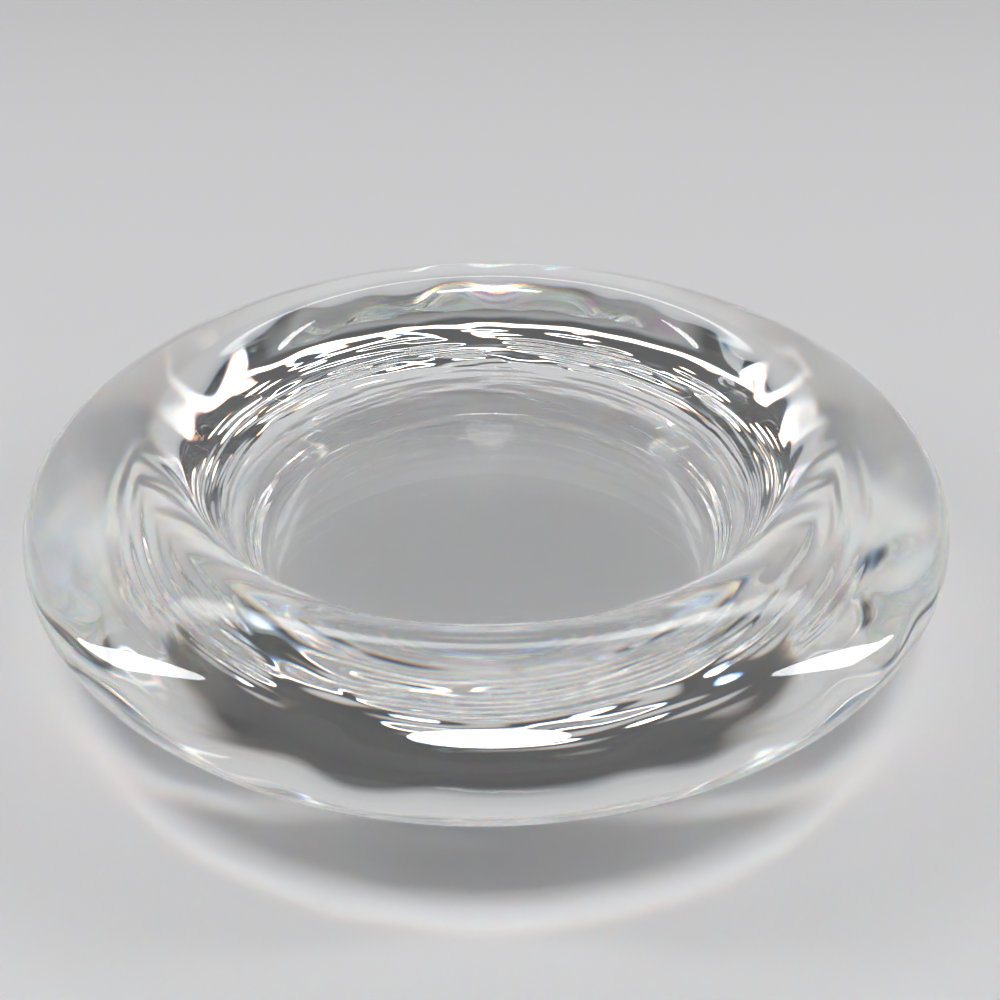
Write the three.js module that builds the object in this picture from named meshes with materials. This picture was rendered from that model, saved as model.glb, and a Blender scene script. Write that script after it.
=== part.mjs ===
// Votive bowl: a low, wide bowl pressed in one piece from thick clear glass.
// Millimetres, +Z up. The origin is at the centre of the base, where the bowl stands.

import * as THREE from 'three';

// Overall size
const BOWL_DIAMETER = 140;
const BOWL_HEIGHT = 28.8;

// Rim
const RIM_WIDTH = 17; // from the crest out to the edge
const CROWN_FALL = 3.4; // how far the rim's top falls from the crest to the edge's round
const EDGE_ROUND = 5;
const SHOULDER_ROUND = 7.3; // from the crest over into the well

// Well
const WALL_SLOPE = 65.5; // degrees above level
const FLOOR_THICKNESS = 4.6;
const FLOOR_FILLET = 1.2; // where the wall meets the floor

// Underside
const BASE_LIP = 5; // how far the base's corner stands outside the floor's corner
const BASE_ROUND = 3;
const NECK_SLOPE = 82; // degrees above level
const NECK_HEIGHT = 11; // from the table to where the neck meets the rim's underside
const NECK_FILLET = 7.5;

// Fineness of the facets
const SURFACE_TOLERANCE = 0.06; // widest gap between a round of the section and its facets
const TURN_FACETS = 96; // around the axis

// Finish
const GLASS_COLOUR = 0xeef3f4;
const GLASS_ROUGHNESS = 0.03;
const GLASS_OPACITY = 0.35;

const { degToRad, euclideanModulo } = THREE.MathUtils;

// A point of the section: its distance from the axis and its height.
const point = (radius, height) => new THREE.Vector2(radius, height);

// Points along a round, from one bearing about its centre to another, with both ends.
function arc(centre, radius, from, to) {
  const step = 2 * Math.acos(1 - Math.min(SURFACE_TOLERANCE / radius, 1));
  const count = Math.max(1, Math.ceil(Math.abs(to - from) / step));
  const bearings = Array.from({ length: count + 1 }, (_, i) => from + ((to - from) * i) / count);
  return bearings.map((bearing) =>
    point(centre.x + radius * Math.cos(bearing), centre.y + radius * Math.sin(bearing))
  );
}

// The round that takes the place of a corner, no larger than the corner's shorter side allows.
function roundedCorner(before, corner, after, radius) {
  const back = before.clone().sub(corner);
  const ahead = after.clone().sub(corner);
  const room = Math.min(back.length(), ahead.length()) / 2;
  back.normalize();
  ahead.normalize();
  const halfAngle = Math.acos(back.dot(ahead)) / 2;
  const reach = Math.min(radius / Math.tan(halfAngle), room);
  const fitted = reach * Math.tan(halfAngle);
  const towardsCentre = back.clone().add(ahead).setLength(fitted / Math.sin(halfAngle));
  const centre = corner.clone().add(towardsCentre);
  const from = corner.clone().addScaledVector(back, reach).sub(centre).angle();
  const to = corner.clone().addScaledVector(ahead, reach).sub(centre).angle();
  const turn = euclideanModulo(to - from + Math.PI, 2 * Math.PI) - Math.PI;
  return arc(centre, fitted, from, from + turn);
}

// Half of the bowl's section: from the middle of the base, round the rim, to the middle of the floor.
function bowlSection() {
  const wallSlope = degToRad(WALL_SLOPE);
  const neckSlope = degToRad(NECK_SLOPE);
  const rimRadius = BOWL_DIAMETER / 2;

  // The edge's round and the crown, a long round that is level at the crest and runs into the edge
  const crest = point(rimRadius - RIM_WIDTH, BOWL_HEIGHT);
  const edgeCentre = point(rimRadius - EDGE_ROUND, BOWL_HEIGHT - CROWN_FALL - EDGE_ROUND);
  const crownReach = edgeCentre.x - crest.x;
  const crownRound = EDGE_ROUND + (crownReach ** 2 + CROWN_FALL ** 2) / (2 * CROWN_FALL);
  const crownCentre = point(crest.x, crest.y - crownRound);
  const crownStart = edgeCentre.clone().sub(crownCentre).angle();

  // The shoulder turns from the crest down into the straight wall, which runs to the floor
  const shoulderCentre = point(crest.x, crest.y - SHOULDER_ROUND);
  const shoulderEnd = Math.PI / 2 + wallSlope;
  const shoulder = arc(shoulderCentre, SHOULDER_ROUND, Math.PI / 2, shoulderEnd);
  const wallTop = shoulder.at(-1);
  const wallRun = (wallTop.y - FLOOR_THICKNESS) / Math.tan(wallSlope);
  const floorCorner = point(wallTop.x - wallRun, FLOOR_THICKNESS);

  // The neck rises from the base, and the underside runs from it to touch the edge's round
  const baseCorner = point(floorCorner.x + BASE_LIP, 0);
  const neckCorner = point(baseCorner.x + NECK_HEIGHT / Math.tan(neckSlope), NECK_HEIGHT);
  const toEdge = edgeCentre.clone().sub(neckCorner);
  const undersideSlope = Math.atan2(toEdge.y, toEdge.x) - Math.asin(EDGE_ROUND / toEdge.length());
  const edge = [
    ...arc(edgeCentre, EDGE_ROUND, undersideSlope - Math.PI / 2, 0),
    ...arc(edgeCentre, EDGE_ROUND, 0, crownStart).slice(1),
  ];

  const baseCentre = point(0, 0);
  const floorCentre = point(0, FLOOR_THICKNESS);
  return [
    baseCentre,
    ...roundedCorner(baseCentre, baseCorner, neckCorner, BASE_ROUND),
    ...roundedCorner(baseCorner, neckCorner, edge[0], NECK_FILLET),
    ...edge,
    ...arc(crownCentre, crownRound, crownStart, Math.PI / 2).slice(1),
    ...shoulder.slice(1),
    ...roundedCorner(wallTop, floorCorner, floorCentre, FLOOR_FILLET),
    floorCentre,
  ];
}

function glassBowl() {
  const geometry = new THREE.LatheGeometry(bowlSection(), TURN_FACETS);
  geometry.rotateX(Math.PI / 2);
  const material = new THREE.MeshStandardMaterial({
    color: GLASS_COLOUR,
    roughness: GLASS_ROUGHNESS,
    metalness: 0,
    transparent: true,
    opacity: GLASS_OPACITY,
  });
  const mesh = new THREE.Mesh(geometry, material);
  mesh.name = 'glass_bowl';
  return mesh;
}

const votiveBowl = new THREE.Group();
votiveBowl.add(glassBowl());

export default votiveBowl;
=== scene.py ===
import math

import bpy
import numpy as np
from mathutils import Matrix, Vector


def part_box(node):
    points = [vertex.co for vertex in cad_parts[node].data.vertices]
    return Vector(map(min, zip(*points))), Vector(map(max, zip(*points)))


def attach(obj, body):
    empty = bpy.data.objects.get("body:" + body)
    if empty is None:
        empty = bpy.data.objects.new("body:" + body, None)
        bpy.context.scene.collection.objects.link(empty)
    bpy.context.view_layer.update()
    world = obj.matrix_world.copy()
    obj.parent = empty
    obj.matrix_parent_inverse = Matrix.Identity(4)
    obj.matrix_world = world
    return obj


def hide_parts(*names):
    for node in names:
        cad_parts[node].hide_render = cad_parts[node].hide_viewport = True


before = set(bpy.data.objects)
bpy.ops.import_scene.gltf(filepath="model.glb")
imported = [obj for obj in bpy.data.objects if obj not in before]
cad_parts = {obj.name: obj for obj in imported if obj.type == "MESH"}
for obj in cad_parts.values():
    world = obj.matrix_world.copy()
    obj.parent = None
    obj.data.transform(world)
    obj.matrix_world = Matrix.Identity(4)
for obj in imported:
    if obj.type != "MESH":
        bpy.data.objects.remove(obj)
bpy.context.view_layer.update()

MM = 0.001

# Section of the bowl in millimetres and degrees; the outer radius and the height come from the frame
BOX_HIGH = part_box("glass_bowl")[1]
RIM_RADIUS = BOX_HIGH[0] / MM
HEIGHT = BOX_HIGH[2] / MM
RIM_WIDTH = 17.0
CROWN_FALL = 3.4
EDGE_ROUND = 5.0
SHOULDER_ROUND = 7.3
WALL_SLOPE = 65.5
FLOOR_THICKNESS = 4.6
FLOOR_FILLET = 1.2
BASE_LIP = 5.0
BASE_ROUND = 3.0
NECK_SLOPE = 82.0
NECK_HEIGHT = 11.0
NECK_FILLET = 7.5

# Fineness of the mesh: facets round the axis, fewest steps in a round, and steps in millimetres
TURNS = 264
ROUND_STEPS = 4
FINE_STEP = 0.18
PLAIN_STEP = 0.6
FLAT_STEP = 4.0

# Unevenness of the pressed surface, in millimetres. A zone starts, is full, fades and ends at these
# distances along the section from the middle of the base. Orders are counts of waves round the axis.
RANDOM_SEED = 11
RIPPLE_DEPTH = 0.11
RIPPLE_LENGTHS = (1.4, 2.0, 3.0)
RIPPLE_ZONE = (42.5, 45.5, 60.0, 67.0)
WAVE_DEPTH = 0.07
WAVE_COUNT = 26
WAVE_LENGTHS = (7.0, 16.0)
WAVE_ORDERS = (2, 30)
WAVE_ZONE = (50.0, 58.0, 72.0, 77.5)
POLISH_DEPTH = 0.006
POLISH_COUNT = 18
POLISH_LENGTHS = (9.0, 26.0)
POLISH_ORDERS = (2, 9)
POLISH_ZONE = (80.0, 88.0, 114.0, 121.0)

# How the rings of ripples drift along the section, and where they come and go. Each wandering wave has
# its orders, its strength and its lean along the section, and is drawn at a random share of that strength.
RIPPLE_DRIFTS = (((1, 2, 3), 1.2, 0.3), ((5, 8, 13), 0.45, 0.5))
RIPPLE_PATCHES = ((2, 5, 9, 14), 1.0, 0.8)
PATCH_RANGE = (-0.9, 1.1)
WANDER_SHARES = (0.5, 1)

# Glass. The rim's top splits light into colours: the prism fades in over a radius and a height.
# Its bands are warm, neutral and cool, and their mean is white.
IOR = 1.54
DISPERSION = 0.028
BAND_COLOURS = ((1.8, 0.7, 0.4), (0.8, 1.6, 0.8), (0.4, 0.7, 1.8))
PRISM_RADIUS = (46.0, 48.0)
PRISM_HEIGHT = (15.0, 18.0)
GLASS_TINT = (0.92, 0.94, 0.955)
GLASS_DENSITY = 4.0

# Wear of the glass, from noise. Smudges are everywhere, and hair scratches only on the floor of the well.
# Each sets in over a range of the noise.
SMUDGE_SCALE = 0.07
SMUDGE_DETAIL = 5
SMUDGE_DISTORTION = 0.6
SMUDGE_RANGE = (0.55, 0.75)
SMUDGE_ROUGHNESS = 0.03
SCRATCH_ANGLES = (15, 70, 128)
SCRATCH_SCALE = (0.035, 2.6, 0.035)
SCRATCH_DETAIL = 1
SCRATCH_RANGE = (0.68, 0.74)
SCRATCH_ROUGHNESS = 0.22
SCRATCH_RADIUS = (34.0, 36.0)
SCRATCH_HEIGHT = (FLOOR_THICKNESS / 3, FLOOR_THICKNESS * 2 / 3)

# Floor, in metres
FLOOR_COLOUR = (0.62, 0.62, 0.63)
FLOOR_ROUGHNESS = 0.7
FLOOR_RADIUS = 2.5
FLOOR_SIDES = 96
FLOOR_FADE = (0.5, 1.5)
FLOOR_DROP = 0.00025

# Sky and the card of light in it. Stops are heights on a sphere of radius one, with a brightness each,
# and the card fades in over a range of how far a direction points behind the bowl.
SKY_STOPS = (
    (0.0, 0.62), (0.3, 0.58), (0.42, 0.5), (0.52, 0.1),
    (0.84, 0.08), (0.9, 0.35), (0.97, 0.25), (1.0, 0.08),
)
CARD_STOPS = ((0.71, 0.0), (0.73, 1.0), (0.755, 1.0), (0.775, 0.0))
CARD_SIDES = (0.3, 0.6)
CARD_STRENGTH = 5.0

# Lamps: place and size in metres, and power in watts
SOFTBOX_PLACE = (0, -0.4, 2.0)
SOFTBOX_SIZE = (0.8, 0.32)
SOFTBOX_POWER = 19
STRIP_PLACE = (1.3, 0.1, 0.9)
STRIP_SIZE = (0.15, 1.0)
STRIP_POWER = 5

# Light turns many times inside thick glass
ALL_BOUNCES = 32
GLASS_BOUNCES = 24

# Camera, in metres, degrees and millimetres
CAMERA_PLACE = (0.00195, -0.1281, 0.10275)
CAMERA_NEAR = 0.005
CAMERA_TILT = 54.05
CAMERA_SENSOR = 36
CAMERA_LENS = 33.55


def bearing(v):
    """Angle of a vector of the section, from outward towards up."""
    return math.atan2(v[1], v[0])


def arc(centre, radius, start, end, step):
    """Points along a round, from one bearing about its centre to another."""
    count = max(ROUND_STEPS, math.ceil(abs(end - start) * radius / step))
    t = np.linspace(start, end, count + 1)
    return np.column_stack((centre[0] + radius * np.cos(t), centre[1] + radius * np.sin(t)))


def line(a, b, step):
    """Points between two ends, which are left out."""
    a, b = np.array(a, float), np.array(b, float)
    count = max(1, math.ceil(np.linalg.norm(b - a) / step))
    t = np.linspace(0, 1, count + 1)[1:-1, None]
    return a + (b - a) * t


def rounded_corner(before, corner, after, radius, step):
    """The round that takes the place of a corner."""
    before, corner, after = (np.array(p, float) for p in (before, corner, after))
    back = (before - corner) / np.linalg.norm(before - corner)
    ahead = (after - corner) / np.linalg.norm(after - corner)
    half = math.acos(back @ ahead) / 2
    reach = radius / math.tan(half)
    middle = back + ahead
    centre = corner + middle / np.linalg.norm(middle) * radius / math.sin(half)
    start = bearing(corner + back * reach - centre)
    turn = bearing(corner + ahead * reach - centre) - start
    turn = (turn + math.pi) % math.tau - math.pi
    return arc(centre, radius, start, start + turn, step)


def section():
    """Half of the section from the middle of the base, round the rim, to the middle of the floor."""
    wall = math.radians(WALL_SLOPE)
    neck = math.radians(NECK_SLOPE)

    # Rim and well
    crest = (RIM_RADIUS - RIM_WIDTH, HEIGHT)
    edge_centre = np.array((RIM_RADIUS - EDGE_ROUND, HEIGHT - CROWN_FALL - EDGE_ROUND))
    reach = edge_centre[0] - crest[0]
    crown = EDGE_ROUND + (reach**2 + CROWN_FALL**2) / (2 * CROWN_FALL)
    crown_centre = np.array((crest[0], HEIGHT - crown))
    crown_start = bearing(edge_centre - crown_centre)
    shoulder_centre = (crest[0], HEIGHT - SHOULDER_ROUND)
    shoulder = arc(shoulder_centre, SHOULDER_ROUND, math.pi / 2, math.pi / 2 + wall, PLAIN_STEP / 2)
    wall_top = shoulder[-1]
    floor_corner = (wall_top[0] - (wall_top[1] - FLOOR_THICKNESS) / math.tan(wall), FLOOR_THICKNESS)

    # Foot and underside
    base_corner = (floor_corner[0] + BASE_LIP, 0)
    neck_corner = (base_corner[0] + NECK_HEIGHT / math.tan(neck), NECK_HEIGHT)
    to_edge = edge_centre - neck_corner
    slope = bearing(to_edge) - math.asin(EDGE_ROUND / np.linalg.norm(to_edge))

    low_edge = arc(edge_centre, EDGE_ROUND, slope - math.pi / 2, 0, FINE_STEP)
    high_edge = arc(edge_centre, EDGE_ROUND, 0, crown_start, FINE_STEP * 2)
    foot = rounded_corner((0, 0), base_corner, neck_corner, BASE_ROUND, FINE_STEP)
    fillet = rounded_corner(base_corner, neck_corner, low_edge[0], NECK_FILLET, FINE_STEP)
    floor = rounded_corner(wall_top, floor_corner, (0, FLOOR_THICKNESS), FLOOR_FILLET, FINE_STEP)
    return np.vstack((
        [(0, 0)],
        line((0, 0), foot[0], FLAT_STEP),
        foot,
        line(foot[-1], fillet[0], FINE_STEP),
        fillet,
        line(fillet[-1], low_edge[0], FINE_STEP),
        low_edge,
        high_edge[1:],
        arc(crown_centre, crown, crown_start, math.pi / 2, PLAIN_STEP)[1:],
        shoulder[1:],
        line(shoulder[-1], floor[0], PLAIN_STEP),
        floor,
        line(floor[-1], (0, FLOOR_THICKNESS), FLAT_STEP),
        [(0, FLOOR_THICKNESS)],
    ))


def smooth(x, low, high):
    """Rises from 0 to 1 between two values, with soft ends."""
    t = np.clip((x - low) / (high - low), 0, 1)
    return t * t * (3 - 2 * t)


def zone(along, start, full, fade, end):
    """Share of an effect along the section: 1 in its zone and 0 outside it."""
    return smooth(along, start, full) * (1 - smooth(along, fade, end))


def unevenness(along, turn):
    """How far the glass stands out at each point of the section and each bearing round the axis."""
    rng = np.random.default_rng(RANDOM_SEED)
    s, a = along[:, None], turn[None, :]

    def wander(orders, strength, lean):
        """A slow random wave round the axis that leans a little along the section."""
        total = 0
        for m in orders:
            height = strength * rng.uniform(*WANDER_SHARES)
            start = rng.uniform(0, math.tau)
            total = total + height * np.sin(m * a + start + s * rng.uniform(-lean, lean))
        return total

    def waves(count, lengths, orders):
        """Broad waves that cross each other at random."""
        total = 0
        for _ in range(count):
            m = rng.integers(*orders)
            k = math.tau / rng.uniform(*lengths) * rng.choice((-1, 1))
            total = total + np.sin(m * a + k * s + rng.uniform(0, math.tau))
        return total / math.sqrt(count)

    # Fine ripples where the hot glass met the mould, in long rings that come and go
    ripples = 0
    for length in RIPPLE_LENGTHS:
        drift = sum(wander(*wave) for wave in RIPPLE_DRIFTS)
        strength = smooth(wander(*RIPPLE_PATCHES), *PATCH_RANGE)
        ripples = ripples + np.sin(math.tau * s / length + drift) * strength
    ripples = ripples / math.sqrt(len(RIPPLE_LENGTHS))
    broad = waves(WAVE_COUNT, WAVE_LENGTHS, WAVE_ORDERS)

    # The fire-polished top only dips, so the bowl keeps its size
    polish = waves(POLISH_COUNT, POLISH_LENGTHS, POLISH_ORDERS)
    polish = polish - polish.max()
    return (
        ripples * RIPPLE_DEPTH * zone(s, *RIPPLE_ZONE)
        + broad * WAVE_DEPTH * zone(s, *WAVE_ZONE)
        + polish * POLISH_DEPTH * zone(s, *POLISH_ZONE)
    )


def bowl_mesh():
    """The section turned about the axis, with its unevenness, in metres."""
    points = section()
    along = np.concatenate(([0], np.cumsum(np.linalg.norm(np.diff(points, axis=0), axis=1))))
    turn = np.arange(TURNS) * math.tau / TURNS
    tangent = np.gradient(points, axis=0)
    tangent /= np.linalg.norm(tangent, axis=1)[:, None]
    depth = unevenness(along, turn)
    radius = points[:, :1] + tangent[:, 1:] * depth
    height = points[:, 1:] - tangent[:, :1] * depth
    rings = np.stack((radius * np.cos(turn), radius * np.sin(turn), height), axis=-1)[1:-1] * MM

    # The section's first and last points lie on the axis, and each closes the mesh with a fan
    count = len(rings)
    verts = np.vstack((rings.reshape(-1, 3), [(0, 0, 0), (0, 0, FLOOR_THICKNESS * MM)]))
    this = np.arange(TURNS)
    after = (this + 1) % TURNS
    ring = np.arange(count - 1)[:, None] * TURNS
    quads = np.stack((ring + this, ring + after, ring + TURNS + after, ring + TURNS + this), axis=-1)
    base_centre = np.full(TURNS, len(verts) - 2)
    floor_centre = np.full(TURNS, len(verts) - 1)
    last = (count - 1) * TURNS
    fans = np.vstack((
        np.column_stack((base_centre, after, this)),
        np.column_stack((floor_centre, last + this, last + after)),
    ))
    mesh = bpy.data.meshes.new("bowl")
    mesh.from_pydata(verts.tolist(), [], quads.reshape(-1, 4).tolist() + fans.tolist())
    mesh.shade_smooth()
    return mesh


class Nodes:
    """A node tree with short calls to add nodes and join them."""

    def __init__(self, owner):
        owner.use_nodes = True
        self.tree = owner.node_tree
        self.tree.nodes.clear()

    def add(self, kind, links=None, values=None, **settings):
        """A new node: links and values go to its inputs by name or number, settings to the node itself."""
        node = self.tree.nodes.new("ShaderNode" + kind)
        for name, value in settings.items():
            setattr(node, name, value)
        for name, value in (values or {}).items():
            node.inputs[name].default_value = value
        for name, source in (links or {}).items():
            self.tree.links.new(source, node.inputs[name])
        return node

    def math(self, operation, *sources):
        """What one arithmetic step makes of the sources."""
        node = self.add("Math", dict(enumerate(sources)), operation=operation)
        return node.outputs["Value"]

    def spread(self, source, low, high, to_low=0.0, to_high=1.0, kind="SMOOTHSTEP"):
        """The source value, carried from one range to another."""
        values = {"From Min": low, "From Max": high, "To Min": to_low, "To Max": to_high}
        return self.add("MapRange", {"Value": source}, values, interpolation_type=kind).outputs["Result"]

    def ramp(self, source, stops):
        """A grey that follows the stops, each a position and a brightness."""
        node = self.add("ValToRGB", {"Fac": source})
        elements = node.color_ramp.elements
        while len(elements) < len(stops):
            elements.new(0.5)
        for element, (position, grey) in zip(elements, stops):
            element.position = position
            element.color = (grey, grey, grey, 1)
        return node.outputs["Color"]


def from_axis(tree, place):
    """Distance from the upright axis."""
    level = tree.add("VectorMath", {0: place}, {1: (1, 1, 0)}, operation="MULTIPLY").outputs["Vector"]
    return tree.add("VectorMath", {0: level}, operation="LENGTH").outputs["Value"]


def glass_wear(tree, place, radius, height):
    """Roughness of the glass: polished, with faint smudges and with hair scratches on the floor."""
    values = {"Scale": SMUDGE_SCALE, "Detail": SMUDGE_DETAIL, "Distortion": SMUDGE_DISTORTION}
    noise = tree.add("TexNoise", {"Vector": place}, values)
    smudges = tree.spread(noise.outputs["Fac"], *SMUDGE_RANGE, 0.0, SMUDGE_ROUGHNESS)
    scratches = None
    for angle in SCRATCH_ANGLES:
        values = {"Rotation": (0, 0, math.radians(angle)), "Scale": SCRATCH_SCALE}
        streaked = tree.add("Mapping", {"Vector": place}, values).outputs["Vector"]
        noise = tree.add("TexNoise", {"Vector": streaked}, {"Scale": 1, "Detail": SCRATCH_DETAIL})
        hairs = tree.spread(noise.outputs["Fac"], *SCRATCH_RANGE, 0.0, SCRATCH_ROUGHNESS)
        scratches = tree.math("MAXIMUM", scratches, hairs) if scratches else hairs
    inside = tree.spread(radius, *SCRATCH_RADIUS, 1.0, 0.0)
    on_top = tree.spread(height, *SCRATCH_HEIGHT)
    on_floor = tree.math("MULTIPLY", inside, on_top)
    return tree.math("MAXIMUM", smudges, tree.math("MULTIPLY", scratches, on_floor))


def glass_material():
    """Clear glass whose rim splits white light as a prism does."""
    material = bpy.data.materials.new("clear_glass")
    tree = Nodes(material)
    metres = tree.add("TexCoord").outputs["Object"]
    place = tree.add("VectorMath", {0: metres}, {"Scale": 1 / MM}, operation="SCALE").outputs["Vector"]
    radius = from_axis(tree, place)
    height = tree.add("SeparateXYZ", {"Vector": place}).outputs["Z"]
    clear = tree.add(
        "BsdfPrincipled",
        {"Roughness": glass_wear(tree, place, radius, height)},
        {"Base Color": (1, 1, 1, 1), "Transmission Weight": 1, "IOR": IOR},
    ).outputs["BSDF"]

    # Three bands of colour, each bent a little more than the one before, in equal shares
    bands = []
    for colour, shift in zip(BAND_COLOURS, (-DISPERSION, 0, DISPERSION)):
        values = {"Color": (*colour, 1), "Roughness": 0, "IOR": IOR + shift}
        bands.append(tree.add("BsdfGlass", values=values).outputs["BSDF"])
    first_two = tree.add("MixShader", {1: bands[0], 2: bands[1]}, {0: 1 / 2}).outputs["Shader"]
    prism = tree.add("MixShader", {1: first_two, 2: bands[2]}, {0: 1 / 3}).outputs["Shader"]
    outside = tree.spread(radius, *PRISM_RADIUS, kind="LINEAR")
    above = tree.spread(height, *PRISM_HEIGHT, kind="LINEAR")
    on_rim = tree.math("MULTIPLY", outside, above)
    surface = tree.add("MixShader", {0: on_rim, 1: clear, 2: prism}).outputs["Shader"]

    tint = {"Color": (*GLASS_TINT, 1), "Density": GLASS_DENSITY}
    volume = tree.add("VolumeAbsorption", values=tint).outputs["Volume"]
    tree.add("OutputMaterial", {"Surface": surface, "Volume": volume})
    return material


def floor_material():
    """Pale and matt. Far from the lamps it fades into the plain background."""
    material = bpy.data.materials.new("pale_floor")
    tree = Nodes(material)
    colour = (*FLOOR_COLOUR, 1)
    values = {"Base Color": colour, "Roughness": FLOOR_ROUGHNESS}
    matt = tree.add("BsdfPrincipled", values=values).outputs["BSDF"]
    plain = tree.add("Emission", values={"Color": colour}).outputs["Emission"]
    away = tree.spread(from_axis(tree, tree.add("TexCoord").outputs["Object"]), *FLOOR_FADE)
    path = tree.add("LightPath").outputs
    through = tree.math("MAXIMUM", path["Is Glossy Ray"], path["Is Transmission Ray"])
    seen = tree.math("MAXIMUM", path["Is Camera Ray"], through)
    fade = tree.math("MULTIPLY", away, seen)
    surface = tree.add("MixShader", {0: fade, 1: matt, 2: plain}).outputs["Shader"]
    tree.add("OutputMaterial", {"Surface": surface})
    return material


def area_light(name, location, size, power):
    """An oval lamp that points at the bowl."""
    data = bpy.data.lights.new(name, "AREA")
    data.shape = "ELLIPSE"
    data.size, data.size_y = size
    data.energy = power
    lamp = bpy.data.objects.new(name, data)
    bpy.context.scene.collection.objects.link(lamp)
    lamp.location = location
    lamp.rotation_euler = (-Vector(location)).to_track_quat("-Z", "Y").to_euler()


def studio_sky():
    """Pale at the horizon, dark above it and paler near the top, with a card of light behind the bowl."""
    world = bpy.data.worlds.new("studio")
    bpy.context.scene.world = world
    tree = Nodes(world)
    direction = tree.add("SeparateXYZ", {"Vector": tree.add("TexCoord").outputs["Generated"]}).outputs
    sky = tree.add("Background", {"Color": tree.ramp(direction["Z"], SKY_STOPS)}).outputs["Background"]
    behind = tree.spread(direction["Y"], *CARD_SIDES, 0.0, CARD_STRENGTH)
    card_colour = tree.ramp(direction["Z"], CARD_STOPS)
    card = tree.add("Background", {"Color": card_colour, "Strength": behind}).outputs["Background"]
    both = tree.add("AddShader", {0: sky, 1: card}).outputs["Shader"]
    tree.add("OutputWorld", {"Surface": both})


# Bowl
bowl = bpy.data.objects.new("bowl_glass", bowl_mesh())
bpy.context.scene.collection.objects.link(bowl)
bowl.data.materials.append(glass_material())
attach(bowl, "root")
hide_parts("glass_bowl")

# Floor, a hair below the base, so that it and the glass don't share a plane
bpy.ops.mesh.primitive_circle_add(vertices=FLOOR_SIDES, radius=FLOOR_RADIUS, fill_type="NGON")
floor = bpy.context.object
floor.name = "floor"
floor.location.z = -FLOOR_DROP
floor.data.materials.append(floor_material())

# Lamps and sky
area_light("softbox", SOFTBOX_PLACE, SOFTBOX_SIZE, SOFTBOX_POWER)
for side in (-1, 1):
    place = (side * STRIP_PLACE[0], *STRIP_PLACE[1:])
    area_light("strip", place, STRIP_SIZE, STRIP_POWER)
studio_sky()

# Camera
camera_data = bpy.data.cameras.new("camera")
camera_data.sensor_width = CAMERA_SENSOR
camera_data.lens = CAMERA_LENS
camera_data.clip_start = CAMERA_NEAR
camera = bpy.data.objects.new("camera", camera_data)
bpy.context.scene.collection.objects.link(camera)
camera.location = CAMERA_PLACE
camera.rotation_euler = (math.radians(CAMERA_TILT), 0, 0)
bpy.context.scene.camera = camera

bpy.context.scene.view_settings.view_transform = "Standard"

# Light paths. With no blur, light stays sharp where it comes out of the glass.
cycles = bpy.context.scene.cycles
cycles.max_bounces = ALL_BOUNCES
cycles.glossy_bounces = GLASS_BOUNCES
cycles.transmission_bounces = GLASS_BOUNCES
cycles.blur_glossy = 0
